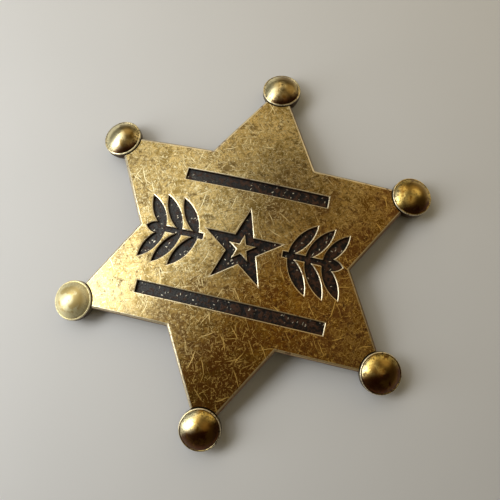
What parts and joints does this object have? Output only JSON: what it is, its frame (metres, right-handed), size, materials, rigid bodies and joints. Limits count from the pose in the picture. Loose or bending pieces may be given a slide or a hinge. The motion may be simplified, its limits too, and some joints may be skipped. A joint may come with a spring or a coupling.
{
  "type": "six-pointed star badge",
  "caption": "Domed metal star badge with round rivet studs at its tips, a sunk blackened ornament on its face and a pin bar on its back for fastening to cloth.",
  "frame": {"origin": "middle of the box's underside, on the surface that the badge lies on, face up, on its rivet tails", "axes": "+X to the right of the badge as its wearer's viewer sees it, +Y towards its top point, +Z out of its face"},
  "size_m": [0.0614, 0.0698, 0.0058],
  "materials": {
    "antique_brass": "worn satin with fine scratches and brown patina",
    "stud_brass": "worn polish with dark patina round the foot of the cap",
    "black_enamel": "rough black with brass specks",
    "pin_metal": "dull brass plating"
  },
  "bodies": {
    "root": {"star_plate": "antique_brass", "stud_1": "stud_brass", "stud_2": "stud_brass", "stud_3": "stud_brass", "stud_4": "stud_brass", "stud_5": "stud_brass", "stud_6": "stud_brass", "upper_bar_enamel": "black_enamel", "lower_bar_enamel": "black_enamel", "middle_star_enamel": "black_enamel", "left_laurel_enamel": "black_enamel", "right_laurel_enamel": "black_enamel", "pin_bar": "pin_metal"}
  },
  "joints": []
}
